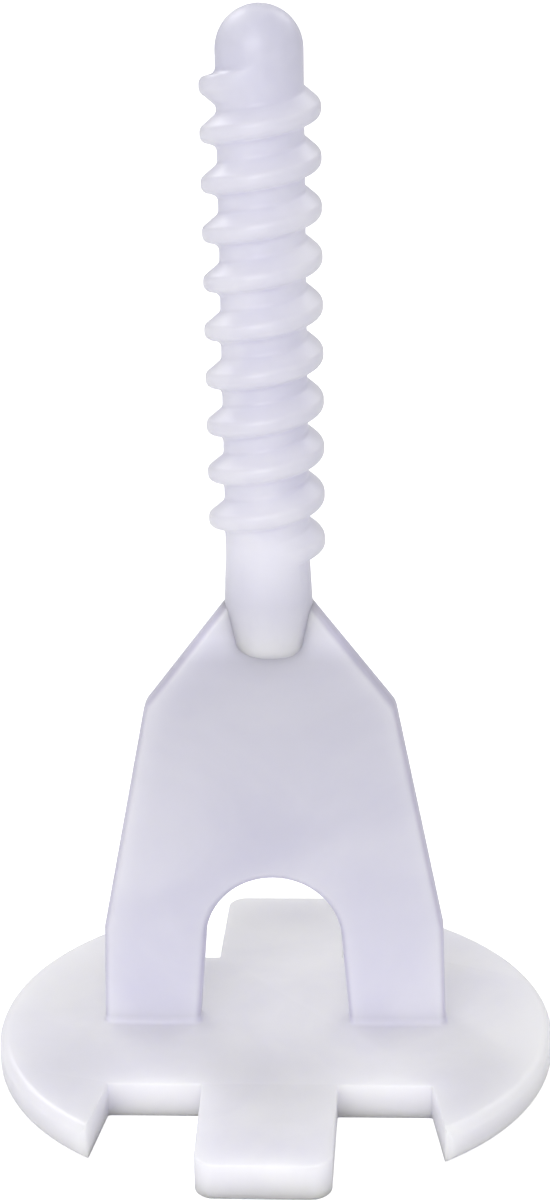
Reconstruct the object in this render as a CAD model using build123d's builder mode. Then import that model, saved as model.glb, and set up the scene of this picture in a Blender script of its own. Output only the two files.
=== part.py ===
from build123d import *
from math import cos, pi, radians, sin, tan
import os

# A screw-type tile levelling spacer, moulded in one piece: a notched base plate that stays under
# four tiles, a thin web that sets the joint width and breaks off at its two legs, and a coarse
# threaded post for the screw-on cap. The sections of the moulding are separate solids that meet
# face to face. Origin: on the post's axis at the underside of the base. +X runs along the web's
# width, +Z up the post. Millimetres and degrees.

# Base plate
base_radius = 18.5
base_thickness = 2.4
rim_chamfer = 0.4  # on the wings' outer rim, above and below
bar_half_depth = 9.0  # centre to the straight edges at the bottom of the four notches
tab_root_half_width = 4.35
tab_end_half_width = 4.2
tab_reach = 18.8  # centre to the straight end of a tab
tab_corner_round = 1.3
wing_root_x = 10.4  # centre to a wing's inner edge, where it leaves the bar
wing_flare = 8.0  # lean of that edge, outwards
wing_tip_reach = 14.4  # centre to the blunt tips of the wings

# Web: two legs, the blade above its arched window, and the sloping shoulders
web_thickness = 2.0
web_edge_chamfer = 0.3
leg_foot_half_width = 11.42
leg_knee_half_width = 11.23
leg_knee_height = 7.0  # above the plate
shoulder_half_width = 8.1
shoulder_height = 22.7  # above the plate
shoulder_round = 1.2
window_radius = 4.5
window_centre_height = 6.1  # above the plate
window_flare = 5.5  # lean of the window's sides, outwards and down

# Neck, which runs down into the shoulders and has a blunt end, proud of both faces
neck_root_radius = 2.8
neck_root_height = 29.6  # above the plate, where the shoulders' slopes meet the neck
neck_end_depth = 3.4  # from there down to the blunt end
neck_end_chamfer = 1.0

# Threaded post
core_radius = 2.65
thread_crest_radius = 3.66
thread_pitch = 3.0
thread_crest_land = 0.85
thread_sloping_flank = 0.85  # axial run of the load-free flank, which faces up
thread_steep_flank = 0.25  # axial run of the flank that carries the cap, which faces down
thread_start_height = 4.0  # from the neck's root up to the first full crest, on the +X side
thread_full_turns = 9.5  # from there up to the last full crest, on the -X side
thread_fade_turns = 0.25  # length of the run-out at each end, in turns
thread_change_turns = 0.25  # stretch before the upper run-out in which the flanks change places
thread_root_margin = 0.2  # plain core left beyond the lowest and the highest root
tip_plain_length = 0.45  # straight part of the nose below its dome
profile_overlap = 0.3  # depth to which the ridge's profile is drawn on inside the core

# Derived heights
web_foot_z = base_thickness
leg_knee_z = web_foot_z + leg_knee_height
window_centre_z = web_foot_z + window_centre_height
shoulder_z = web_foot_z + shoulder_height
blade_top_z = shoulder_z - 2 * shoulder_round
neck_root_z = web_foot_z + neck_root_height
neck_end_z = neck_root_z - neck_end_depth
thread_start_z = neck_root_z + thread_start_height
thread_root_reach = thread_crest_land / 2 + thread_steep_flank
core_bottom_z = thread_start_z - thread_root_reach - thread_root_margin
thread_end_z = thread_start_z + (thread_full_turns + thread_fade_turns) * thread_pitch
core_top_z = thread_end_z + thread_root_reach + thread_root_margin
tip_dome_z = core_top_z + tip_plain_length
post_top_z = tip_dome_z + core_radius
half_web = web_thickness / 2
beyond = 2 * base_radius  # reach of a cutting sketch that has to pass the whole part
tolerance = 0.001

os.makedirs("parts", exist_ok=True)


def save(piece, name):
    """Label one finished piece and write its STEP file."""
    piece.part.label = name
    export_step(piece.part, f"parts/{name}.step")


# ------------------------------------------------------------------ base plate
def wing(side):
    """One side of the disc, from the bar outwards; side is -1 or 1."""
    tip_edge_x = wing_root_x + (wing_tip_reach - bar_half_depth) * tan(radians(wing_flare))
    with BuildPart() as part:
        with BuildSketch(Plane.XZ) as rim_section:
            Rectangle(base_radius, base_thickness, align=(Align.MIN, Align.MIN))
            chamfer(rim_section.vertices().group_by(Axis.X)[-1], rim_chamfer)
        revolve(axis=Axis.Z)
        with BuildSketch() as wing_outline:
            with BuildLine():
                Polyline(
                    (side * wing_root_x, -bar_half_depth),
                    (side * wing_root_x, bar_half_depth),
                    (side * tip_edge_x, wing_tip_reach),
                    (side * beyond, wing_tip_reach),
                    (side * beyond, -wing_tip_reach),
                    (side * tip_edge_x, -wing_tip_reach),
                    close=True,
                )
            make_face()
        extrude(amount=base_thickness, mode=Mode.INTERSECT)
    return part


def tab(end):
    """One tongue of the plate, in front of the bar or behind it; end is -1 or 1."""
    with BuildPart() as part:
        with BuildSketch() as tab_outline:
            with BuildLine():
                Polyline(
                    (-tab_root_half_width, end * bar_half_depth),
                    (-tab_end_half_width, end * tab_reach),
                    (tab_end_half_width, end * tab_reach),
                    (tab_root_half_width, end * bar_half_depth),
                    close=True,
                )
            make_face()
            end_corners = [v for v in tab_outline.vertices() if abs(v.Y) > tab_reach - tolerance]
            fillet(end_corners, tab_corner_round)
        extrude(amount=base_thickness)
    return part


left_wing = wing(-1)
right_wing = wing(1)
front_tab = tab(-1)
rear_tab = tab(1)

with BuildPart() as centre_bar:
    Box(2 * wing_root_x, 2 * bar_half_depth, base_thickness, align=(Align.CENTER, Align.CENTER, Align.MIN))

# ------------------------------------------------------------------ neck
with BuildPart() as neck:
    with BuildSketch(Plane.XZ) as neck_section:
        with BuildLine():
            Polyline(
                (0, neck_end_z),
                (neck_root_radius, neck_end_z),
                (neck_root_radius, neck_root_z),
                (core_radius, core_bottom_z),
                (0, core_bottom_z),
                close=True,
            )
        make_face()
        chamfer(neck_section.vertices().group_by(Axis.Y)[0].sort_by(Axis.X)[-1], neck_end_chamfer)
    revolve(axis=Axis.Z)

# ------------------------------------------------------------------ web
shoulder_slope = (neck_root_z - shoulder_z) / (shoulder_half_width - neck_root_radius)
web_top_x = neck_root_radius / 2
web_top_z = neck_root_z + (neck_root_radius - web_top_x) * shoulder_slope
window_spring_x = window_radius * cos(radians(window_flare))
window_spring_z = window_centre_z - window_radius * sin(radians(window_flare))
window_foot_x = window_spring_x + window_spring_z * tan(radians(window_flare))

with BuildPart() as web:
    with BuildSketch(Plane.XZ) as web_outline:
        with BuildLine():
            Polyline(
                (0, web_foot_z),
                (leg_foot_half_width, web_foot_z),
                (leg_knee_half_width, leg_knee_z),
                (shoulder_half_width, shoulder_z),
                (web_top_x, web_top_z),
                (0, web_top_z),
            )
            mirror(about=Plane.YZ)
        make_face()
        corners = [v for v in web_outline.vertices() if abs(v.Y - shoulder_z) < tolerance]
        fillet(corners, shoulder_round)
        with BuildLine():
            ThreePointArc(
                (-window_spring_x, window_spring_z),
                (0, window_centre_z + window_radius),
                (window_spring_x, window_spring_z),
            )
            Polyline(
                (window_spring_x, window_spring_z),
                (window_foot_x, 0),
                (-window_foot_x, 0),
                (-window_spring_x, window_spring_z),
            )
        make_face(mode=Mode.SUBTRACT)
    extrude(amount=half_web, both=True)
    face_edges = web.faces().filter_by(Axis.Y).edges()
    chamfer([edge for edge in face_edges if edge.center().Z > web_foot_z + tolerance], web_edge_chamfer)


def web_section(low, high):
    """The part of the web between two heights."""
    with BuildPart() as part:
        add(web.part)
        split(bisect_by=Plane.XY.offset(low))
        split(bisect_by=Plane.XY.offset(high), keep=Keep.BOTTOM)
    return part


legs = web_section(web_foot_z, window_centre_z)
blade = web_section(window_centre_z, blade_top_z)
shoulder_stock = web_section(blade_top_z, web_top_z)

with BuildPart() as left_leg:
    add(legs.part)
    split(bisect_by=Plane.YZ, keep=Keep.BOTTOM)

with BuildPart() as right_leg:
    add(legs.part)
    split(bisect_by=Plane.YZ)

with BuildPart() as shoulder:
    add(shoulder_stock.part)
    add(neck.part, mode=Mode.SUBTRACT)

# ------------------------------------------------------------------ threaded post
with BuildPart() as thread_core:
    with BuildSketch(Plane.XY.offset(core_bottom_z)):
        Circle(core_radius)
    extrude(amount=core_top_z - core_bottom_z)

with BuildPart() as post_tip:
    with BuildSketch(Plane.XZ):
        with BuildLine():
            Line((0, core_top_z), (core_radius, core_top_z))
            Line((core_radius, core_top_z), (core_radius, tip_dome_z))
            RadiusArc((core_radius, tip_dome_z), (0, post_top_z), -core_radius)
            Line((0, post_top_z), (0, core_top_z))
        make_face()
    revolve(axis=Axis.Z)


def ridge_profile(turn, crest_radius, upper_run, lower_run):
    """The ridge's section after a number of turns, with its flanks drawn on into the core."""
    angle = 2 * pi * turn
    half_plane = Plane(
        origin=(0, 0, thread_start_z + turn * thread_pitch),
        x_dir=(cos(angle), sin(angle), 0),
        z_dir=(sin(angle), -cos(angle), 0),
    )
    drawn_share = 1 + profile_overlap / (thread_crest_radius - core_radius)
    with BuildSketch(half_plane) as profile:
        with BuildLine():
            Polyline(
                (core_radius - profile_overlap, -thread_crest_land / 2 - lower_run * drawn_share),
                (crest_radius, -thread_crest_land / 2),
                (crest_radius, thread_crest_land / 2),
                (core_radius - profile_overlap, thread_crest_land / 2 + upper_run * drawn_share),
                close=True,
            )
        make_face()
    return profile.sketch


def ridge_run(start, end):
    """The stretch of the ridge between two stations, each given as the arguments of ridge_profile."""
    first_turn, last_turn = start[0], end[0]
    path = Helix(thread_pitch, (last_turn - first_turn) * thread_pitch, core_radius, mode=Mode.PRIVATE)
    path = path.rotate(Axis.Z, 360 * first_turn).moved(Pos(0, 0, thread_start_z + first_turn * thread_pitch))
    with BuildPart() as part:
        sweep([ridge_profile(*start), ridge_profile(*end)], path=path, multisection=True, is_frenet=True)
    return part


# The ridge rises out of the core, runs at full height, changes its flanks over and sinks back again.
sloping, steep = thread_sloping_flank, thread_steep_flank
stations = [
    (-thread_fade_turns, core_radius, sloping, steep),
    (0, thread_crest_radius, sloping, steep),
    (thread_full_turns - thread_change_turns, thread_crest_radius, sloping, steep),
    (thread_full_turns, thread_crest_radius, steep, sloping),
    (thread_full_turns + thread_fade_turns, core_radius, steep, sloping),
]
ridge_runs = [ridge_run(start, end) for start, end in zip(stations, stations[1:])]

with BuildPart() as thread_ridge:
    for run in ridge_runs:
        add(run.part)
    with BuildSketch(Plane.XY.offset(core_bottom_z - thread_pitch)):
        Circle(core_radius)
    extrude(amount=core_top_z - core_bottom_z + 2 * thread_pitch, mode=Mode.SUBTRACT)

save(left_wing, "left_wing")
save(right_wing, "right_wing")
save(centre_bar, "centre_bar")
save(front_tab, "front_tab")
save(rear_tab, "rear_tab")
save(left_leg, "left_leg")
save(right_leg, "right_leg")
save(blade, "blade")
save(shoulder, "shoulder")
save(neck, "neck")
save(thread_core, "thread_core")
save(thread_ridge, "thread_ridge")
save(post_tip, "post_tip")
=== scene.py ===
import math

import bmesh
import bpy
from bpy.props import FloatProperty, FloatVectorProperty, PointerProperty
from mathutils import Matrix, Vector


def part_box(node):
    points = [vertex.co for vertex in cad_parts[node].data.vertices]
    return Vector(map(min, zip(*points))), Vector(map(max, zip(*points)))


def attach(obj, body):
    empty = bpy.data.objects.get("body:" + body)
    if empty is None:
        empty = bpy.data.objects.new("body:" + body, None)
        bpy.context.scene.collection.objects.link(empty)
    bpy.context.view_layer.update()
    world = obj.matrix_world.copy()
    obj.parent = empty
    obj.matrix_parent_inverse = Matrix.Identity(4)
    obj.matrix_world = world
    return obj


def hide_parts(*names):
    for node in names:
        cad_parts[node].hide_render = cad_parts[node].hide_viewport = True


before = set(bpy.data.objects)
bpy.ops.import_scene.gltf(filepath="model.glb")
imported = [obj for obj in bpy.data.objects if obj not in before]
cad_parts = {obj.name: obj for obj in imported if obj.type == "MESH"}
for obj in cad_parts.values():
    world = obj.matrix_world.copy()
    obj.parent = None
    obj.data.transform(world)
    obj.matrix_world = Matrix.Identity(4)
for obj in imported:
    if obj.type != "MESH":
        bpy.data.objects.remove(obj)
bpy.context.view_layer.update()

bl_info = {
    "name": "Screw-type levelling spacer",
    "version": (1, 0, 0),
    "blender": (4, 5, 0),
    "location": "3D View > Sidebar > Spacer",
    "description": "One-piece tile levelling spacer: notched plate, breakaway web, threaded post",
    "category": "Add Mesh",
}

MM = 0.001
NEAR = 2e-6  # how close counts as touching, in metres
PLATE_NAME = "base_and_web"
POST_NAME = "threaded_post"
PLATE_NODES = ("left_wing", "right_wing", "centre_bar", "front_tab", "rear_tab")
WEB_NODES = ("left_leg", "right_leg", "blade", "shoulder")
POST_NODES = ("neck", "thread_core", "thread_ridge", "post_tip")

# How finely round forms are stepped
RIM_SIDES = 288  # sides of the plate's disc
RIM_SEGMENTS = 8
TIP_INNER_CUTS = 3  # saw cuts that round the inner corner of a wing's tip
TIP_OUTER_CUTS = 1
TAB_CORNER_SEGMENTS = 10
CROWN_SIDES = 144  # sides of the full circle of which the window's crown is a part
WEB_EDGE_SEGMENTS = 6
FOOT_SEGMENTS = 5
PLATE_EDGE_SEGMENTS = 3
THREAD_STEPS_PER_TURN = 72
RIDGE_CORNER_SEGMENTS = 5
NECK_END_STEPS = 8
DOME_STEPS = 16

# Angles and directions by which faces and edges are told apart
FACING = 0.99  # a face looks along an axis if its normal's part along that axis is above this
PLATE_FLAT_ANGLE = math.radians(0.4)  # faces that bend less are made one flat face
WEB_FLAT_ANGLE = math.radians(0.2)
FOOT_EDGE_ANGLE = math.radians(30)
SHARP_EDGE_ANGLE = math.radians(35)
PLATE_SMOOTH_ANGLE = math.radians(32)  # edges that bend less are shaded smooth
POST_SMOOTH_ANGLE = math.radians(40)

# Soft lamps: name, place, (width, height) in metres, and power in watts
LAMPS = (
    ("front", (-0.15, -0.7, 0.3), (0.5, 0.5), 3.2),
    ("back_left", (-0.35, 0.4, 0.5), (0.3, 0.3), 1.15),
    ("back_right", (0.35, 0.4, 0.5), (0.3, 0.3), 0.65),
)
LAMP_TARGET = (0, 0, 30 * MM)
WORLD_LEVEL = 0.42  # light from the horizon
WORLD_SLOPE = (0.06, 0.0, 0.32)  # how that light grows towards +X, +Y and +Z
SENSOR_WIDTH = 36.0  # in mm, as Blender has it
CAMERA_REACH = (10 * MM, 10.0)  # nearest and farthest that the camera sees
FLOOR_SIZE = 2.0
FLOOR_GLOW = 0.62  # what a white floor needs on top of the light that falls on it


# ---------------------------------------------------------------- settings
class SpacerPlateSettings(bpy.types.PropertyGroup):
    rim_round: FloatProperty(
        name="Rim Rounding",
        description="Rounding of the wings' outer rim, above and below",
        default=0.7 * MM,
        min=0.0,
        unit="LENGTH",
    )
    tip_round: FloatProperty(
        name="Tip Rounding",
        description="Rounding of the upright corners at the wings' tips",
        default=0.2 * MM,
        min=0.0,
        unit="LENGTH",
    )
    edge_round: FloatProperty(
        name="Edge Rounding",
        description="Small rounding of the plate's other edges",
        default=0.14 * MM,
        min=0.0,
        unit="LENGTH",
    )
    tab_corner_round: FloatProperty(
        name="Tab Corner Rounding",
        description="Rounding of the tabs' outer corners, seen from above",
        default=1.3 * MM,
        min=0.0,
        unit="LENGTH",
    )
    tab_taper: FloatProperty(
        name="Tab Taper",
        description="Width of a tab's end as a share of its root",
        default=4.2 / 4.35,
        min=0.1,
        max=1.0,
        subtype="FACTOR",
    )
    wing_flare: FloatProperty(
        name="Wing Flare",
        description="Lean of a wing's inner edge beyond the bar",
        default=math.radians(8.0),
        subtype="ANGLE",
    )


class SpacerWebSettings(bpy.types.PropertyGroup):
    thickness: FloatProperty(
        name="Thickness",
        description="Thickness of the web, which sets the joint between two tiles",
        default=2.0 * MM,
        min=0.1 * MM,
        unit="LENGTH",
    )
    foot_half_width: FloatProperty(
        name="Foot Half Width",
        description="Centre to the outer edge of a leg at the plate",
        default=11.42 * MM,
        unit="LENGTH",
    )
    knee_half_width: FloatProperty(
        name="Knee Half Width",
        description="Centre to the outer edge of a leg at its knee",
        default=11.23 * MM,
        unit="LENGTH",
    )
    knee_height: FloatProperty(
        name="Knee Height",
        description="Height of the knee above the plate",
        default=7.0 * MM,
        unit="LENGTH",
    )
    shoulder_half_width: FloatProperty(
        name="Shoulder Half Width",
        description="Centre to the corner of a shoulder",
        default=8.1 * MM,
        unit="LENGTH",
    )
    shoulder_height: FloatProperty(
        name="Shoulder Height",
        description="Height of the shoulders' corners above the plate",
        default=22.7 * MM,
        unit="LENGTH",
    )
    shoulder_round: FloatProperty(
        name="Shoulder Rounding",
        description="Rounding of the shoulders' corners",
        default=1.2 * MM,
        unit="LENGTH",
    )
    slope_top_height: FloatProperty(
        name="Slope Top Height",
        description="Height above the plate at which the shoulders' slopes meet the neck",
        default=29.6 * MM,
        unit="LENGTH",
    )
    window_radius: FloatProperty(
        name="Window Radius",
        description="Radius of the arched window's crown",
        default=4.5 * MM,
        unit="LENGTH",
    )
    window_flare: FloatProperty(
        name="Window Flare",
        description="Lean of the window's sides, outwards and down",
        default=math.radians(4.75),
        subtype="ANGLE",
    )
    edge_round: FloatProperty(
        name="Edge Rounding",
        description="Rounding of the web's long edges and of the window's edge",
        default=0.5 * MM,
        unit="LENGTH",
    )
    foot_fillet: FloatProperty(
        name="Foot Fillet",
        description="Hollow rounding where the legs stand on the plate",
        default=0.25 * MM,
        unit="LENGTH",
    )


class SpacerPostSettings(bpy.types.PropertyGroup):
    pitch: FloatProperty(
        name="Pitch",
        description="Rise of the thread in one turn",
        default=3.0 * MM,
        min=0.5 * MM,
        unit="LENGTH",
    )
    crest_land: FloatProperty(
        name="Crest Land",
        description="Width of the ridge at its crest, before rounding",
        default=0.85 * MM,
        unit="LENGTH",
    )
    sloping_flank: FloatProperty(
        name="Sloping Flank",
        description="Length along the post of the ridge's upper flank",
        default=0.85 * MM,
        unit="LENGTH",
    )
    steep_flank: FloatProperty(
        name="Steep Flank",
        description="Length along the post of the ridge's lower flank, which carries the cap",
        default=0.25 * MM,
        unit="LENGTH",
    )
    crest_round: FloatProperty(
        name="Crest Rounding",
        description="Rounding of the two corners of the ridge's crest",
        default=0.5 * MM,
        unit="LENGTH",
    )
    root_round: FloatProperty(
        name="Root Rounding",
        description="Hollow rounding where the ridge's flanks meet the core",
        default=0.4 * MM,
        unit="LENGTH",
    )
    first_crest: FloatProperty(
        name="First Crest",
        description="Height of the first full crest, which is on the right-hand side",
        default=36.0 * MM,
        unit="LENGTH",
    )
    full_turns: FloatProperty(
        name="Full Turns",
        description="Turns from the first full crest to the last",
        default=9.5,
        min=1.0,
    )
    fade_turns: FloatProperty(
        name="Run-out",
        description="Length of the run-out at each end, in turns",
        default=0.25,
        min=0.05,
    )
    change_turns: FloatProperty(
        name="Change-over",
        description="Turns before the upper run-out over which the flanks change places",
        default=0.25,
        min=0.05,
    )
    neck_end_round: FloatProperty(
        name="Neck End Rounding",
        description="Rounding of the blunt end with which the neck runs into the web",
        default=1.1 * MM,
        unit="LENGTH",
    )
    neck_taper: FloatProperty(
        name="Neck Taper",
        description="Width of the neck's sunk end as a share of its width above the web",
        default=0.83,
        min=0.1,
        max=1.0,
        subtype="FACTOR",
    )


class SpacerFinishSettings(bpy.types.PropertyGroup):
    clear_tint: FloatVectorProperty(
        name="Clear Tint",
        description="Colour of the nylon where it is clearest",
        default=(0.755, 0.745, 0.85),
        subtype="COLOR",
        min=0.0,
        max=1.0,
    )
    milky_tint: FloatVectorProperty(
        name="Milky Tint",
        description="Colour of the nylon where the flow of the moulding left it milky",
        default=(0.825, 0.815, 0.90),
        subtype="COLOR",
        min=0.0,
        max=1.0,
    )
    # Painted shade: the web's tint is darkened, more with height; in part also the clearer look of
    # the thin web
    painted_web_shade: FloatVectorProperty(
        name="Painted Web Shade",
        description="How much darker the thin, clearer web looks than the plate",
        default=(0.665, 0.665, 0.65),
        subtype="COLOR",
        min=0.0,
        max=1.0,
    )
    # Painted shade: the post's neck and tip are painted darker than its thread, which its ridges
    # shade
    painted_post_shade: FloatVectorProperty(
        name="Painted Post Shade",
        description="How much darker the post looks than the plate",
        default=(0.76, 0.76, 0.79),
        subtype="COLOR",
        min=0.0,
        max=1.0,
    )
    # Painted shade: the thread's crest is painted darker than the core, to flatten its lit relief
    painted_ridge_shade: FloatVectorProperty(
        name="Painted Ridge Shade",
        description="How much darker the thread's thin crest looks than the post's core",
        default=(0.9, 0.895, 0.915),
        subtype="COLOR",
        min=0.0,
        max=1.0,
    )
    # Painted shade: the web's rounded edges are painted darker, standing for the dark surroundings
    # they show
    painted_edge_shade: FloatVectorProperty(
        name="Painted Edge Shade",
        description="How much darker the web's rounded edges look than its faces",
        default=(0.78, 0.765, 0.83),
        subtype="COLOR",
        min=0.0,
        max=1.0,
    )
    base_scatter_depth: FloatProperty(
        name="Base Scatter Depth",
        description="How far light spreads below the surface of the plate and the web",
        default=4.0 * MM,
        unit="LENGTH",
    )
    post_scatter_depth: FloatProperty(
        name="Post Scatter Depth",
        description="How far light spreads below the surface of the post",
        default=8.0 * MM,
        unit="LENGTH",
    )


class SpacerStudioSettings(bpy.types.PropertyGroup):
    camera_distance: FloatProperty(
        name="Camera Distance",
        description="Level distance from the camera to the post's axis",
        default=153.6 * MM,
        unit="LENGTH",
    )
    camera_height: FloatProperty(
        name="Camera Height",
        description="Height of the camera above the floor",
        default=83.8 * MM,
        unit="LENGTH",
    )
    camera_azimuth: FloatProperty(
        name="Camera Azimuth",
        description="How far the camera stands to the right of straight in front",
        default=0.0529,
        subtype="ANGLE",
    )
    camera_yaw: FloatProperty(
        name="Camera Yaw",
        description="How far the camera looks past the post's axis",
        default=-0.0027,
        subtype="ANGLE",
    )
    camera_tilt: FloatProperty(
        name="Camera Tilt",
        description="How far the camera looks down",
        default=0.3249,
        subtype="ANGLE",
    )
    camera_roll: FloatProperty(
        name="Camera Roll",
        description="Turn of the camera about its line of sight",
        default=-0.0164,
        subtype="ANGLE",
    )
    lens: FloatProperty(
        name="Lens",
        description="Focal length on a 36 mm sensor",
        default=76.4537,
        min=1.0,
    )
    floor_colour: FloatVectorProperty(
        name="Floor Colour",
        description="Colour of the floor",
        default=(0.8, 0.8, 0.8),
        subtype="COLOR",
        min=0.0,
        max=1.0,
    )


# ---------------------------------------------------------------- tools
def plate_top_z():
    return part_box("centre_bar")[1].z


def deselect_everything():
    if bpy.context.object and bpy.context.object.mode != "OBJECT":
        bpy.ops.object.mode_set(mode="OBJECT")
    bpy.ops.object.select_all(action="DESELECT")


def activate(piece):
    """Make one object the only selected one."""
    deselect_everything()
    piece.select_set(True)
    bpy.context.view_layer.objects.active = piece


def edit(piece):
    """Open one object in edit mode, ready to select vertices."""
    activate(piece)
    bpy.ops.object.mode_set(mode="EDIT")
    bpy.ops.mesh.select_mode(type="VERT")


def close_edit():
    bpy.ops.object.mode_set(mode="OBJECT")


def pick(kind, test):
    """In edit mode, select the vertices, edges or faces that pass the test, and nothing else."""
    bpy.ops.mesh.select_mode(type=kind)
    bpy.ops.mesh.select_all(action="DESELECT")
    shape = bmesh.from_edit_mesh(bpy.context.object.data)
    items = {"VERT": shape.verts, "EDGE": shape.edges, "FACE": shape.faces}[kind]
    chosen = [item for item in items if test(item)]
    if not chosen:
        raise RuntimeError(f"nothing to select on {bpy.context.object.name}")
    for item in chosen:
        item.select_set(True)
    shape.select_flush_mode()
    bmesh.update_edit_mesh(bpy.context.object.data)


def middle(edge):
    return (edge.verts[0].co + edge.verts[1].co) / 2


def cut(point, normal, close=True):
    """Saw the whole mesh in edit mode by a plane, and drop what lies on the normal's side."""
    bpy.ops.mesh.select_all(action="SELECT")
    bpy.ops.mesh.bisect(
        plane_co=point, plane_no=normal, use_fill=close, clear_outer=True, threshold=NEAR / 10
    )


def round_corner(corner, first, second, radius, cuts):
    """Saw an upright corner round, between two sides given by their outward directions."""
    corner, first, second = Vector(corner), Vector(first), Vector(second)
    centre = corner - radius * (first + second) / (1 + first.dot(second))
    for step in range(1, cuts + 1):
        outward = first.lerp(second, step / (cuts + 1)).normalized()
        cut(centre + radius * outward, outward)


def score(point, normal):
    """Add a line of vertices round the mesh where a plane crosses it, and take nothing away."""
    bpy.ops.mesh.select_all(action="SELECT")
    bpy.ops.mesh.bisect(plane_co=point, plane_no=normal, threshold=NEAR / 10)


def merge_and_face_out():
    bpy.ops.mesh.select_all(action="SELECT")
    bpy.ops.mesh.remove_doubles(threshold=NEAR)
    bpy.ops.mesh.normals_make_consistent(inside=False)


def apply_modifier(piece, kind, name, **values):
    activate(piece)
    modifier = piece.modifiers.new(name, kind)
    for key, value in values.items():
        setattr(modifier, key, value)
    bpy.ops.object.modifier_apply(modifier=modifier.name)


def combine(piece, other, operation):
    """Add another shape to the piece (UNION) or cut it out (DIFFERENCE), and delete that shape."""
    apply_modifier(piece, "BOOLEAN", "combine", operation=operation, object=other, solver="EXACT")
    bpy.data.objects.remove(other)


def finish_piece(piece, name, material, nodes, smooth_angle):
    """Name a piece, give it its finish, place it on its body and let it stand for its solids."""
    activate(piece)
    bpy.ops.object.transform_apply(location=True, rotation=True, scale=True)
    bpy.ops.object.shade_smooth_by_angle(angle=smooth_angle)
    piece.name = name
    piece.data.name = name
    piece.data.materials.clear()
    piece.data.materials.append(material)
    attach(piece, "root")
    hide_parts(*nodes)
    deselect_everything()


# ---------------------------------------------------------------- finish
def feed(tree, node, values):
    """Give a node's inputs their values, or link them to other nodes' outputs."""
    for key, value in values.items():
        if isinstance(value, bpy.types.NodeSocket):
            tree.links.new(value, node.inputs[key])
        else:
            node.inputs[key].default_value = value


def calculate(tree, operation, *values):
    node = tree.nodes.new("ShaderNodeMath")
    node.operation = operation
    feed(tree, node, dict(enumerate(values)))
    return node.outputs["Value"]


def ramp(tree, value, start, end, low=0.0, high=1.0, interpolation="LINEAR"):
    """From low to high, while the value goes from start to end."""
    node = tree.nodes.new("ShaderNodeMapRange")
    node.interpolation_type = interpolation
    span = {"From Min": start, "From Max": end, "To Min": low, "To Max": high}
    feed(tree, node, {"Value": value, **span})
    return node.outputs["Result"]


def mix(tree, share, first, second, blend="MIX"):
    node = tree.nodes.new("ShaderNodeMix")
    node.data_type = "RGBA"
    node.blend_type = blend
    feed(tree, node, {"Factor": share, "A": first, "B": second})
    return node.outputs["Result"]


def noise(tree, place, scale, detail, distortion=0.0):
    node = tree.nodes.new("ShaderNodeTexNoise")
    grade = {"Scale": scale, "Detail": detail, "Distortion": distortion}
    feed(tree, node, {"Vector": place, **grade})
    return node.outputs["Fac"]


GROUP_INPUTS = (
    ("Place", "NodeSocketVector", None),
    ("Clear Tint", "NodeSocketColor", (0.7, 0.7, 0.8, 1.0)),
    ("Milky Tint", "NodeSocketColor", (0.8, 0.8, 0.85, 1.0)),
    ("Cloud Scale", "NodeSocketFloat", 140.0),
    ("Grain Scale", "NodeSocketFloat", 2600.0),
    ("Low Roughness", "NodeSocketFloat", 0.3),
    ("High Roughness", "NodeSocketFloat", 0.42),
    # The painted shade grows from none to whole while the distance from the height Shade Centre
    # goes from Shade From to Shade To. There is none below the Foot. It fades in over the Foot Run
    # above that, and fades out in part above the Head. It paints the web darker with height and the
    # post's neck and tip darker than its thread; the fading above the Head is painted light on the
    # dark crease where the neck meets the web.
    ("Painted Shade", "NodeSocketColor", (0.8, 0.8, 0.8, 1.0)),
    ("Thin Centre", "NodeSocketFloat", 0.0),
    ("Thin From", "NodeSocketFloat", 1.0),
    ("Thin To", "NodeSocketFloat", 2.0),
    ("Foot", "NodeSocketFloat", 0.0),
    ("Foot Run", "NodeSocketFloat", 0.001),
    ("Head", "NodeSocketFloat", 1.0),
    # Painted shade on the thread's ridge grows with the distance from the post's axis, darkening
    # the lit crests
    ("Painted Ridge Shade", "NodeSocketColor", (1.0, 1.0, 1.0, 1.0)),
    ("Ridge Root", "NodeSocketFloat", 1.0),
    ("Ridge Crest", "NodeSocketFloat", 2.0),
    # Painted shade on the web's rounded edges grows towards the web's middle plane
    ("Painted Edge Shade", "NodeSocketColor", (1.0, 1.0, 1.0, 1.0)),
    ("Edge Outside", "NodeSocketFloat", 1.0),
    ("Edge Inside", "NodeSocketFloat", 0.5),
)
GROUP_OUTPUTS = (
    ("Tint", "NodeSocketColor"),
    ("Roughness", "NodeSocketFloat"),
    ("Height", "NodeSocketFloat"),
)


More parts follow.
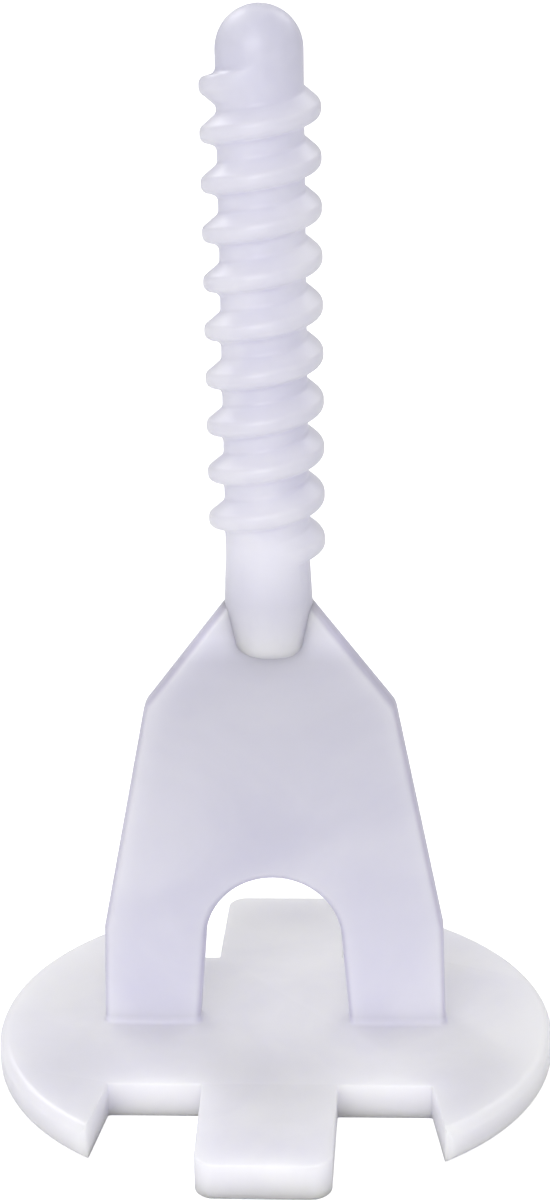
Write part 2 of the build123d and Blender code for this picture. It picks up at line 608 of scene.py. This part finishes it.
def frosted_group():
    """Node group: cloudy tint with painted shade, uneven gloss and fine grain of frosted nylon."""
    name = "frosted_nylon"
    if name in bpy.data.node_groups:
        return bpy.data.node_groups[name]
    tree = bpy.data.node_groups.new(name, "ShaderNodeTree")
    for socket_name, kind, default in GROUP_INPUTS:
        socket = tree.interface.new_socket(socket_name, in_out="INPUT", socket_type=kind)
        if default is not None:
            socket.default_value = default
    for socket_name, kind in GROUP_OUTPUTS:
        tree.interface.new_socket(socket_name, in_out="OUTPUT", socket_type=kind)
    given = tree.nodes.new("NodeGroupInput").outputs
    out = tree.nodes.new("NodeGroupOutput").inputs

    clearest, milkiest = 0.32, 0.68
    glossiest, dullest = 0.3, 0.7
    cloud = noise(tree, given["Place"], given["Cloud Scale"], detail=4.0, distortion=0.6)
    grain = noise(tree, given["Place"], given["Grain Scale"], detail=3.0)
    milkiness = ramp(tree, cloud, clearest, milkiest, interpolation="SMOOTHSTEP")
    tint = mix(tree, milkiness, given["Clear Tint"], given["Milky Tint"])

    split = tree.nodes.new("ShaderNodeSeparateXYZ")
    feed(tree, split, {"Vector": given["Place"]})
    z = split.outputs["Z"]
    # Painted shade, stronger with the distance from the Shade Centre
    away = calculate(tree, "ABSOLUTE", calculate(tree, "SUBTRACT", z, given["Thin Centre"]))
    shade_by_height = ramp(tree, away, given["Thin From"], given["Thin To"])
    foot = ramp(tree, calculate(tree, "SUBTRACT", z, given["Foot"]), 0.0, given["Foot Run"])
    # Above the Head the painted shade eases to this share: painted light on the crease at the neck
    head_run, head_share = 1.6 * MM, 0.65
    past_head = calculate(tree, "SUBTRACT", z, given["Head"])
    head = ramp(tree, past_head, 0.0, head_run, 1.0, head_share)
    # thin is the share of painted shade at each point
    thin = calculate(tree, "MULTIPLY", calculate(tree, "MULTIPLY", shade_by_height, foot), head)
    tint = mix(tree, thin, tint, given["Painted Shade"], "MULTIPLY")

    level = tree.nodes.new("ShaderNodeVectorMath")
    level.operation = "MULTIPLY"
    feed(tree, level, {0: given["Place"], 1: (1.0, 1.0, 0.0)})
    reach = tree.nodes.new("ShaderNodeVectorMath")
    reach.operation = "LENGTH"
    feed(tree, reach, {0: level.outputs["Vector"]})
    # ridge is the share of painted shade on the crest
    ridge = ramp(tree, reach.outputs["Value"], given["Ridge Root"], given["Ridge Crest"])
    tint = mix(tree, ridge, tint, given["Painted Ridge Shade"], "MULTIPLY")

    # Painted shade on the web's rounded edges, above the Foot
    across = calculate(tree, "ABSOLUTE", split.outputs["Y"])
    edge = ramp(tree, across, given["Edge Outside"], given["Edge Inside"])
    tint = mix(tree, calculate(tree, "MULTIPLY", edge, foot), tint, given["Painted Edge Shade"], "MULTIPLY")

    low, high = given["Low Roughness"], given["High Roughness"]
    roughness = ramp(tree, cloud, glossiest, dullest, low, high)
    grain_share = 0.25
    height = calculate(tree, "MULTIPLY_ADD", grain, grain_share, cloud)
    tree.links.new(tint, out["Tint"])
    tree.links.new(roughness, out["Roughness"])
    tree.links.new(height, out["Height"])
    return tree


def nylon(name, tint_share, scatter_depth, look):
    """Frosted natural nylon for one piece; the look gives inputs of the node group."""
    finish = bpy.context.scene.spacer_finish
    material = bpy.data.materials.new(name)
    material.use_nodes = True
    tree = material.node_tree
    link = tree.links.new
    shader = tree.nodes["Principled BSDF"]
    place = tree.nodes.new("ShaderNodeTexCoord")
    frosted = tree.nodes.new("ShaderNodeGroup")
    frosted.node_tree = frosted_group()
    tints = {"Clear Tint": finish.clear_tint, "Milky Tint": finish.milky_tint}
    # The tint share scales the tints down: painted shade over the whole piece
    for socket, tint in tints.items():
        frosted.inputs[socket].default_value = (*(tint_share * value for value in tint), 1.0)
    for socket, value in look.items():
        frosted.inputs[socket].default_value = (*value, 1.0) if socket.endswith("Shade") else value
    bump = tree.nodes.new("ShaderNodeBump")
    bump.inputs["Strength"].default_value = 0.25
    bump.inputs["Distance"].default_value = 0.03 * MM
    link(place.outputs["Object"], frosted.inputs["Place"])
    link(frosted.outputs["Tint"], shader.inputs["Base Color"])
    link(frosted.outputs["Roughness"], shader.inputs["Roughness"])
    link(frosted.outputs["Height"], bump.inputs["Height"])
    link(bump.outputs["Normal"], shader.inputs["Normal"])
    shader.inputs["Subsurface Weight"].default_value = 1.0
    shader.inputs["Subsurface Radius"].default_value = (1.0, 1.0, 1.15)
    shader.inputs["Subsurface Scale"].default_value = scatter_depth
    shader.inputs["IOR"].default_value = 1.5
    return material


# ---------------------------------------------------------------- base plate
def wing(side, settings):
    """One rounded side of the disc; side is -1 for the left one and 1 for the right one."""
    low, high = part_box("right_wing")
    radius, thickness, tip_reach = high.x, high.z, high.y
    root_x = low.x
    bar_half_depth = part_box("centre_bar")[1].y
    bpy.ops.mesh.primitive_cylinder_add(
        vertices=RIM_SIDES,
        radius=radius,
        depth=thickness,
        location=(0, 0, thickness / 2),
        end_fill_type="NGON",
    )
    piece = bpy.context.object
    bpy.ops.object.transform_apply(location=True, rotation=True, scale=True)
    edit(piece)
    pick("EDGE", lambda edge: abs(edge.verts[0].co.z - edge.verts[1].co.z) < NEAR)
    bpy.ops.mesh.bevel(
        offset=settings.rim_round, segments=RIM_SEGMENTS, profile=0.5, affect="EDGES"
    )
    cut((side * root_x, 0, 0), (-side, 0, 0))
    flare = settings.wing_flare
    tip_x = root_x + (tip_reach - bar_half_depth) * math.tan(flare)
    rim_x = math.sqrt(radius**2 - tip_reach**2)
    for end in (-1, 1):
        inward = (-side * math.cos(flare), end * math.sin(flare), 0)
        endward = (0, end, 0)
        outward = (side * rim_x / radius, end * tip_reach / radius, 0)
        cut((side * root_x, end * bar_half_depth, 0), inward)
        cut((0, end * tip_reach, 0), endward)
        inner_corner = (side * tip_x, end * tip_reach, 0)
        outer_corner = (side * rim_x, end * tip_reach, 0)
        round_corner(inner_corner, inward, endward, settings.tip_round, TIP_INNER_CUTS)
        round_corner(outer_corner, endward, outward, settings.tip_round, TIP_OUTER_CUTS)
    merge_and_face_out()
    close_edit()
    return piece


def bar_with_tabs(settings):
    """The bar under the web, with a tab drawn out of its front and one out of its back."""
    low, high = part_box("centre_bar")
    tab_low, tab_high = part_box("rear_tab")
    bpy.ops.mesh.primitive_cube_add(size=1.0, location=(low + high) / 2, scale=high - low)
    piece = bpy.context.object
    bpy.ops.object.transform_apply(location=True, rotation=True, scale=True)
    edit(piece)
    for x in (tab_low.x, tab_high.x):
        score((x, 0, 0), (1, 0, 0))
    reach = tab_high.y - tab_low.y
    for end in (-1, 1):
        end_y = end * tab_high.y
        pick(
            "FACE",
            lambda face: face.normal.y * end > FACING
            and abs(face.calc_center_median().x) < tab_high.x,
        )
        bpy.ops.mesh.extrude_region_move(TRANSFORM_OT_translate={"value": (0, end * reach, 0)})
        bpy.ops.transform.resize(value=(settings.tab_taper, 1, 1), center_override=(0, end_y, 0))
        pick(
            "EDGE",
            lambda edge: abs(edge.verts[0].co.z - edge.verts[1].co.z) > NEAR
            and abs(middle(edge).y - end_y) < NEAR,
        )
        bpy.ops.mesh.bevel(
            offset=settings.tab_corner_round,
            segments=TAB_CORNER_SEGMENTS,
            profile=0.5,
            affect="EDGES",
        )
    close_edit()
    return piece


class SPACER_OT_base_plate(bpy.types.Operator):
    """Make the notched base plate that stays under the tiles, its edges still sharp"""

    bl_idname = "spacer.base_plate"
    bl_label = "Base Plate"

    def execute(self, context):
        settings = context.scene.spacer_plate
        deselect_everything()
        wings = [wing(side, settings) for side in (-1, 1)]
        plate = bar_with_tabs(settings)
        joint_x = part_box("centre_bar")[1].x
        activate(plate)
        for piece in wings:
            piece.select_set(True)
        bpy.ops.object.join()
        edit(plate)
        pick(
            "FACE",
            lambda face: abs(face.normal.x) > FACING
            and abs(abs(face.calc_center_median().x) - joint_x) < NEAR,
        )
        bpy.ops.mesh.delete(type="FACE")
        merge_and_face_out()
        bpy.ops.mesh.dissolve_limited(angle_limit=PLATE_FLAT_ANGLE)
        close_edit()
        plate.name = PLATE_NAME
        return {"FINISHED"}


# ---------------------------------------------------------------- web
def window_tool(settings, plate_top, centre_z):
    """The shape of the arched window, as a block to cut it out with."""
    flare, radius = settings.window_flare, settings.window_radius
    spring_x = radius * math.cos(flare)
    spring_z = centre_z + radius * math.sin(flare)
    bottom_z = plate_top - settings.thickness  # below the plate's top, to cut right through
    depth = 3 * settings.thickness  # and well past both faces of the web
    foot_x = spring_x + (spring_z - bottom_z) * math.tan(flare)
    bpy.ops.mesh.primitive_cylinder_add(
        vertices=CROWN_SIDES,
        radius=radius,
        depth=depth,
        location=(0, 0, centre_z),
        rotation=(math.pi / 2, 0, 0),
        end_fill_type="NGON",
    )
    tool = bpy.context.object
    bpy.ops.object.transform_apply(location=True, rotation=True, scale=True)
    edit(tool)
    cut((0, 0, spring_z), (0, 0, -1))
    pick("FACE", lambda face: face.normal.z < -FACING)
    bpy.ops.mesh.extrude_region_move(TRANSFORM_OT_translate={"value": (0, 0, bottom_z - spring_z)})
    bpy.ops.transform.resize(value=(foot_x / spring_x, 1, 1), center_override=(0, 0, bottom_z))
    merge_and_face_out()
    close_edit()
    return tool


class SPACER_OT_web(bpy.types.Operator):
    """Make the thin web with its window, mould it onto the plate and round the edges"""

    bl_idname = "spacer.web"
    bl_label = "Web"

    def execute(self, context):
        settings = context.scene.spacer_web
        deselect_everything()
        plate_top = plate_top_z()
        web = self.saw_outline(settings, plate_top)
        combine(web, window_tool(settings, plate_top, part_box("blade")[0].z), "DIFFERENCE")
        self.round_long_edges(web, settings, plate_top)
        plate = bpy.data.objects[PLATE_NAME]
        combine(plate, web, "UNION")
        self.fillet_feet(plate, settings, plate_top)
        self.round_sharp_edges(plate, context.scene.spacer_plate)
        finish = context.scene.spacer_finish
        half_thickness = settings.thickness / 2
        # The look paints shade on the web: darker with height, eased near the neck, and on its
        # rounded edges
        look = {
            "Cloud Scale": 90.0,
            "Painted Shade": finish.painted_web_shade,
            "Thin From": -25.0 * MM,  # so about half of the shade is there at the plate
            "Thin To": 25.5 * MM,
            "Foot": plate_top,
            "Foot Run": 0.6 * MM,
            "Head": 28.2 * MM,
            "Painted Edge Shade": finish.painted_edge_shade,
            "Edge Outside": half_thickness,
            "Edge Inside": half_thickness - 0.3 * settings.edge_round,
        }
        material = nylon("nylon_base_and_web", 1.0, finish.base_scatter_depth, look)
        finish_piece(plate, PLATE_NAME, material, PLATE_NODES + WEB_NODES, PLATE_SMOOTH_ANGLE)
        return {"FINISHED"}

    def saw_outline(self, settings, plate_top):
        """A flat slab, sawn to the outline of the legs and the shoulders."""
        top_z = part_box("shoulder")[1].z
        neck_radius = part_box("neck")[1].x
        bottom_z = plate_top / 2  # sunk halfway into the plate, to be moulded onto it
        knee_z = plate_top + settings.knee_height
        shoulder_z = plate_top + settings.shoulder_height
        slope_top_z = plate_top + settings.slope_top_height
        foot_x, knee_x = settings.foot_half_width, settings.knee_half_width
        shoulder_x = settings.shoulder_half_width
        slab_width = 2.1 * foot_x  # a little wider than the legs, for the saw
        bpy.ops.mesh.primitive_cube_add(
            size=1.0,
            location=(0, 0, (bottom_z + top_z) / 2),
            scale=(slab_width, settings.thickness, top_z - bottom_z),
        )
        web = bpy.context.object
        bpy.ops.object.transform_apply(location=True, rotation=True, scale=True)
        edit(web)
        corners = [
            (foot_x, plate_top),
            (knee_x, knee_z),
            (shoulder_x, shoulder_z),
            (neck_radius, slope_top_z),
        ]
        for (x0, z0), (x1, z1) in zip(corners, corners[1:]):
            for side in (-1, 1):
                cut((side * x0, 0, z0), (side * (z1 - z0), 0, x0 - x1))
        merge_and_face_out()
        slope = math.atan2(slope_top_z - shoulder_z, shoulder_x - neck_radius)
        flank = math.atan2(shoulder_z - knee_z, knee_x - shoulder_x)
        run = settings.shoulder_round * math.tan((flank - slope) / 2)
        pick(
            "EDGE",
            lambda edge: abs(middle(edge).z - shoulder_z) < NEAR and abs(middle(edge).y) < NEAR,
        )
        bpy.ops.mesh.bevel(offset=run, segments=WEB_EDGE_SEGMENTS, profile=0.5, affect="EDGES")
        close_edit()
        return web

    def round_long_edges(self, web, settings, plate_top):
        """Round the edges of the web's two faces, those of the window included."""
        edit(web)
        merge_and_face_out()
        bpy.ops.mesh.dissolve_limited(angle_limit=WEB_FLAT_ANGLE)
        pick(
            "EDGE",
            lambda edge: middle(edge).z > plate_top + NEAR
            and sum(abs(face.normal.y) > FACING for face in edge.link_faces) == 1,
        )
        bpy.ops.mesh.bevel(
            offset=settings.edge_round, segments=WEB_EDGE_SEGMENTS, profile=0.5, affect="EDGES"
        )
        merge_and_face_out()
        close_edit()

    def fillet_feet(self, plate, settings, plate_top):
        """Fill the corners where the legs stand on the plate with a hollow rounding."""
        edit(plate)
        merge_and_face_out()
        pick(
            "EDGE",
            lambda edge: all(abs(vert.co.z - plate_top) < NEAR for vert in edge.verts)
            and abs(middle(edge).x) < settings.foot_half_width + NEAR
            and abs(middle(edge).y) < settings.thickness / 2 + NEAR
            and edge.calc_face_angle(0.0) > FOOT_EDGE_ANGLE,
        )
        bpy.ops.mesh.bevel(
            offset=settings.foot_fillet, segments=FOOT_SEGMENTS, profile=0.5, affect="EDGES"
        )
        close_edit()

    def round_sharp_edges(self, plate, settings):
        """Round all edges that are still sharp, but for those of the wings' narrow tips."""
        low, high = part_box("right_wing")
        tip_start = high.y - settings.rim_round
        edit(plate)
        pick(
            "EDGE",
            lambda edge: edge.calc_face_angle(0.0) > SHARP_EDGE_ANGLE
            and not all(
                abs(vert.co.x) > low.x and abs(vert.co.y) > tip_start for vert in edge.verts
            ),
        )
        bpy.ops.mesh.bevel(
            offset=settings.edge_round,
            segments=PLATE_EDGE_SEGMENTS,
            profile=0.5,
            affect="EDGES",
            miter_outer="ARC",
        )
        merge_and_face_out()
        close_edit()


# ---------------------------------------------------------------- threaded post
def rounded_line(points, segments):
    """A line of (along, height, rounding) corners with each corner rounded by its own radius."""
    line = [points[0][:2]]
    for before, corner, after in zip(points, points[1:], points[2:]):
        here, radius = Vector(corner[:2]), corner[2]
        back = (Vector(before[:2]) - here).normalized()
        forth = (Vector(after[:2]) - here).normalized()
        half = back.angle(forth) / 2
        run = radius / math.tan(half)
        centre = here + (back + forth).normalized() * radius / math.sin(half)
        first, last = here + back * run - centre, here + forth * run - centre
        for step in range(segments + 1):
            spoke = first.lerp(last, step / segments).normalized() * radius
            line.append(tuple(centre + spoke))
    line.append(points[-1][:2])
    return line


def ridge_line(settings, height):
    """One pitch of the thread, from root to root: (along the post, height above the core)."""
    half_pitch, half_land = settings.pitch / 2, settings.crest_land / 2
    lower_root = -half_land - settings.steep_flank
    upper_root = half_land + settings.sloping_flank
    corners = [
        (-half_pitch, 0, 0),
        (lower_root, 0, settings.root_round),
        (-half_land, height, settings.crest_round),
        (half_land, height, settings.crest_round),
        (upper_root, 0, settings.root_round),
        (half_pitch, 0, 0),
    ]
    return rounded_line(corners, RIDGE_CORNER_SEGMENTS)


def smooth(value):
    value = min(max(value, 0.0), 1.0)
    return value * value * (3 - 2 * value)


class SPACER_OT_threaded_post(bpy.types.Operator):
    """Make the neck, the threaded post and its domed tip in one run"""

    bl_idname = "spacer.threaded_post"
    bl_label = "Threaded Post"

    def execute(self, context):
        settings = context.scene.spacer_post
        deselect_everything()
        core_low, core_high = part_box("thread_core")
        core_radius = core_high.x
        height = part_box("thread_ridge")[1].x - core_radius
        normal_line = ridge_line(settings, height)
        post = self.wind_thread(settings, core_radius, normal_line)
        self.shape_run_outs(post, settings, core_radius, normal_line)

        edit(post)
        bpy.ops.mesh.select_all(action="SELECT")
        bpy.ops.mesh.remove_doubles(threshold=NEAR)
        dome_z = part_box("post_tip")[1].z - core_radius
        cut((0, 0, core_low.z), (0, 0, -1), close=False)
        cut((0, 0, dome_z), (0, 0, 1), close=False)
        neck_root_z = plate_top_z() + context.scene.spacer_web.slope_top_height
        self.draw_neck(settings, core_low.z, core_radius, neck_root_z)
        self.draw_dome(dome_z, core_radius)
        merge_and_face_out()
        close_edit()

        finish = context.scene.spacer_finish
        # The look paints shade on the neck and the tip, and on the thread's crest
        look = {
            "Cloud Scale": 160.0,
            "Painted Shade": finish.painted_post_shade,
            "Thin Centre": 49.0 * MM,
            "Thin From": 13.0 * MM,
            "Thin To": 18.0 * MM,
            "Foot": 29.5 * MM,
            "Foot Run": 3.0 * MM,
            "Painted Ridge Shade": finish.painted_ridge_shade,
            "Ridge Root": core_radius,
            "Ridge Crest": core_radius + height,
        }
        # Painted shade: the post's tints are 0.84 of the plate's, a darker copy of the same nylon
        material = nylon("nylon_post", 0.84, finish.post_scatter_depth, look)
        finish_piece(post, POST_NAME, material, POST_NODES, POST_SMOOTH_ANGLE)
        return {"FINISHED"}

    def wind_thread(self, settings, core_radius, normal_line):
        """Draw one pitch of the thread's line, and screw it up the post."""
        # The screw runs on past both run-outs, and the saw takes off what is too long
        run_on_below, run_on_above = 2, 1.75
        turns = run_on_below + settings.full_turns + run_on_above
        steps = round(THREAD_STEPS_PER_TURN * turns)
        bpy.ops.mesh.primitive_plane_add(size=core_radius)
        post = bpy.context.object
        edit(post)
        bpy.ops.mesh.select_all(action="SELECT")
        bpy.ops.mesh.merge(type="CENTER")
        start_z = settings.first_crest - run_on_below * settings.pitch
        along, rise = normal_line[0]
        bpy.ops.transform.translate(value=(core_radius + rise, 0, start_z + along))
        for (a0, r0), (a1, r1) in zip(normal_line, normal_line[1:]):
            move = (r1 - r0, 0, a1 - a0)
            bpy.ops.mesh.extrude_region_move(TRANSFORM_OT_translate={"value": move})
        close_edit()
        activate(post)
        bpy.ops.object.transform_apply(location=True, rotation=True, scale=True)
        apply_modifier(
            post,
            "SCREW",
            "thread",
            axis="Z",
            angle=2 * math.pi * turns,
            screw_offset=settings.pitch * turns,
            iterations=1,
            steps=steps,
            render_steps=steps,
            use_merge_vertices=True,
            merge_threshold=NEAR,
        )
        return post

    def shape_run_outs(self, post, settings, core_radius, normal_line):
        """Sink the ridge past its run-outs into the core, and swap its flanks below the upper."""
        swapped_line = [(-along, rise) for along, rise in reversed(normal_line)]
        pitch, full, fade = settings.pitch, settings.full_turns, settings.fade_turns
        for vert in post.data.vertices:
            x, y, z = vert.co
            angle = math.atan2(y, x) / (2 * math.pi)
            whole = round((z - settings.first_crest - angle * pitch) / pitch)
            turn = angle + whole
            along = z - settings.first_crest - turn * pitch
            index = min(range(len(normal_line)), key=lambda i: abs(normal_line[i][0] - along))
            change = smooth((turn - full + settings.change_turns) / settings.change_turns)
            share = smooth((turn + fade) / fade) * smooth((full + fade - turn) / fade)
            if share == 1.0 and change == 0.0:
                continue
            (a0, r0), (a1, r1) = normal_line[index], swapped_line[index]
            along, rise = a0 + (a1 - a0) * change, r0 + (r1 - r0) * change
            radius = core_radius + share * rise
            spin = 2 * math.pi * turn
            vert.co = (
                radius * math.cos(spin),
                radius * math.sin(spin),
                settings.first_crest + turn * pitch + along,
            )

    def draw_neck(self, settings, start_z, start_radius, root_z):
        """Draw the neck down to its root on the web, and on to its blunt end inside the web."""
        neck_low, neck_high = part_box("neck")
        end_round = settings.neck_end_round
        end_radius = settings.neck_taper * neck_high.x
        rings = [(root_z, neck_high.x), (neck_low.z + end_round, end_radius)]
        for step in range(1, NECK_END_STEPS + 1):
            angle = math.pi / 2 * step / NECK_END_STEPS
            ring_z = neck_low.z + end_round * (1 - math.sin(angle))
            rings.append((ring_z, end_radius - end_round * (1 - math.cos(angle))))
        self.draw_rings(start_z, start_radius, rings)
        bpy.ops.mesh.edge_face_add()

    def draw_dome(self, dome_z, radius):
        """Draw the half-ball at the post's tip, and close it at the top."""
        rings = []
        for step in range(1, DOME_STEPS + 1):
            angle = math.pi / 2 * step / (DOME_STEPS + 1)
            rings.append((dome_z + radius * math.sin(angle), radius * math.cos(angle)))
        self.draw_rings(dome_z, radius, rings)
        rest = dome_z + radius - rings[-1][0]
        bpy.ops.mesh.extrude_region_move(TRANSFORM_OT_translate={"value": (0, 0, rest)})
        bpy.ops.mesh.merge(type="CENTER")

    def draw_rings(self, z, radius, rings):
        """From the open end at a height, draw the skin on from ring to ring."""
        pick("EDGE", lambda edge: edge.is_boundary and abs(middle(edge).z - z) < NEAR)
        for next_z, next_radius in rings:
            bpy.ops.mesh.extrude_region_move(TRANSFORM_OT_translate={"value": (0, 0, next_z - z)})
            scale = next_radius / radius
            bpy.ops.transform.resize(value=(scale, scale, 1), center_override=(0, 0, next_z))
            z, radius = next_z, next_radius


# ---------------------------------------------------------------- studio
def soft_lamp(name, place, size, power):
    lamp = bpy.data.lights.new(name, "AREA")
    lamp.shape = "RECTANGLE"
    lamp.size, lamp.size_y = size
    lamp.energy = power
    holder = bpy.data.objects.new(name, lamp)
    bpy.context.scene.collection.objects.link(holder)
    holder.location = place
    towards = Vector(LAMP_TARGET) - Vector(place)
    holder.rotation_euler = towards.to_track_quat("-Z", "Y").to_euler()


def camera_ray(tree):
    """1 for what the camera sees directly, 0 for the light that falls on the object."""
    return tree.nodes.new("ShaderNodeLightPath").outputs["Is Camera Ray"]


class SPACER_OT_studio(bpy.types.Operator):
    """Set up the floor, the soft lamps, the world and the camera"""

    bl_idname = "spacer.studio"
    bl_label = "Studio"

    def execute(self, context):
        settings = context.scene.spacer_studio
        deselect_everything()
        bpy.ops.mesh.primitive_plane_add(size=FLOOR_SIZE, location=(0, 0, 0))
        floor = context.object
        floor.name = "studio_floor"
        floor.data.materials.append(self.floor_material(settings))
        self.world(context)
        for lamp in LAMPS:
            soft_lamp(*lamp)
        self.camera(context, settings)
        return {"FINISHED"}

    def floor_material(self, settings):
        material = bpy.data.materials.new("studio_floor")
        material.use_nodes = True
        tree = material.node_tree
        shader = tree.nodes["Principled BSDF"]
        shader.inputs["Base Color"].default_value = (*settings.floor_colour, 1.0)
        shader.inputs["Roughness"].default_value = 1.0
        shader.inputs["Specular IOR Level"].default_value = 0.0
        glow = calculate(tree, "MULTIPLY", camera_ray(tree), FLOOR_GLOW)
        shader.inputs["Emission Color"].default_value = (1.0, 1.0, 1.0, 1.0)
        tree.links.new(glow, shader.inputs["Emission Strength"])
        return material

    def world(self, context):
        """White to the camera; for other rays, a soft light that grows towards one direction."""
        world = bpy.data.worlds.new("studio")
        context.scene.world = world
        world.use_nodes = True
        tree = world.node_tree
        background = tree.nodes["Background"]
        way = tree.nodes.new("ShaderNodeTexCoord")
        slope = tree.nodes.new("ShaderNodeVectorMath")
        slope.operation = "DOT_PRODUCT"
        feed(tree, slope, {0: way.outputs["Generated"], 1: WORLD_SLOPE})
        around = calculate(tree, "ADD", slope.outputs["Value"], WORLD_LEVEL)
        strength = ramp(tree, camera_ray(tree), 0.0, 1.0, around, 1.0)
        tree.links.new(strength, background.inputs["Strength"])
        background.inputs["Color"].default_value = (1.0, 1.0, 1.0, 1.0)

    def camera(self, context, settings):
        azimuth, yaw = settings.camera_azimuth, settings.camera_azimuth + settings.camera_yaw
        tilt, roll = settings.camera_tilt, settings.camera_roll
        forward = Vector(
            (-math.sin(yaw) * math.cos(tilt), math.cos(yaw) * math.cos(tilt), -math.sin(tilt))
        )
        right = forward.cross(Vector((0, 0, 1))).normalized()
        up = right.cross(forward)
        right, up = (
            math.cos(roll) * right + math.sin(roll) * up,
            -math.sin(roll) * right + math.cos(roll) * up,
        )
        data = bpy.data.cameras.new("camera")
        data.lens = settings.lens
        data.sensor_width = SENSOR_WIDTH
        data.clip_start, data.clip_end = CAMERA_REACH
        camera = bpy.data.objects.new("camera", data)
        context.scene.collection.objects.link(camera)
        turn = Matrix((right, up, -forward)).transposed().to_4x4()
        place = Vector(
            (
                settings.camera_distance * math.sin(azimuth),
                -settings.camera_distance * math.cos(azimuth),
                settings.camera_height,
            )
        )
        camera.matrix_world = Matrix.Translation(place) @ turn
        context.scene.camera = camera
        context.scene.view_settings.view_transform = "Standard"


class SPACER_PT_panel(bpy.types.Panel):
    """Sizes and colours of the spacer, and the buttons that make its pieces"""

    bl_label = "Levelling Spacer"
    bl_idname = "SPACER_PT_panel"
    bl_space_type = "VIEW_3D"
    bl_region_type = "UI"
    bl_category = "Spacer"

    def draw(self, context):
        for operator, group in PIECES:
            column = self.layout.column(align=True)
            column.operator(operator)
            settings = getattr(context.scene, group)
            for name in type(settings).__annotations__:
                column.prop(settings, name)
        column = self.layout.column(align=True)
        for name in SpacerFinishSettings.__annotations__:
            column.prop(context.scene.spacer_finish, name)


SETTINGS = {
    "spacer_plate": SpacerPlateSettings,
    "spacer_web": SpacerWebSettings,
    "spacer_post": SpacerPostSettings,
    "spacer_finish": SpacerFinishSettings,
    "spacer_studio": SpacerStudioSettings,
}
PIECES = (
    ("spacer.base_plate", "spacer_plate"),
    ("spacer.web", "spacer_web"),
    ("spacer.threaded_post", "spacer_post"),
    ("spacer.studio", "spacer_studio"),
)
CLASSES = (
    *SETTINGS.values(),
    SPACER_OT_base_plate,
    SPACER_OT_web,
    SPACER_OT_threaded_post,
    SPACER_OT_studio,
    SPACER_PT_panel,
)


def register():
    for item in CLASSES:
        bpy.utils.register_class(item)
    for name, group in SETTINGS.items():
        setattr(bpy.types.Scene, name, PointerProperty(type=group))


def unregister():
    for name in SETTINGS:
        delattr(bpy.types.Scene, name)
    for item in reversed(CLASSES):
        bpy.utils.unregister_class(item)


def main():
    register()
    bpy.ops.spacer.base_plate()
    bpy.ops.spacer.web()
    bpy.ops.spacer.threaded_post()
    bpy.ops.spacer.studio()


if __name__ == "__main__":
    main()
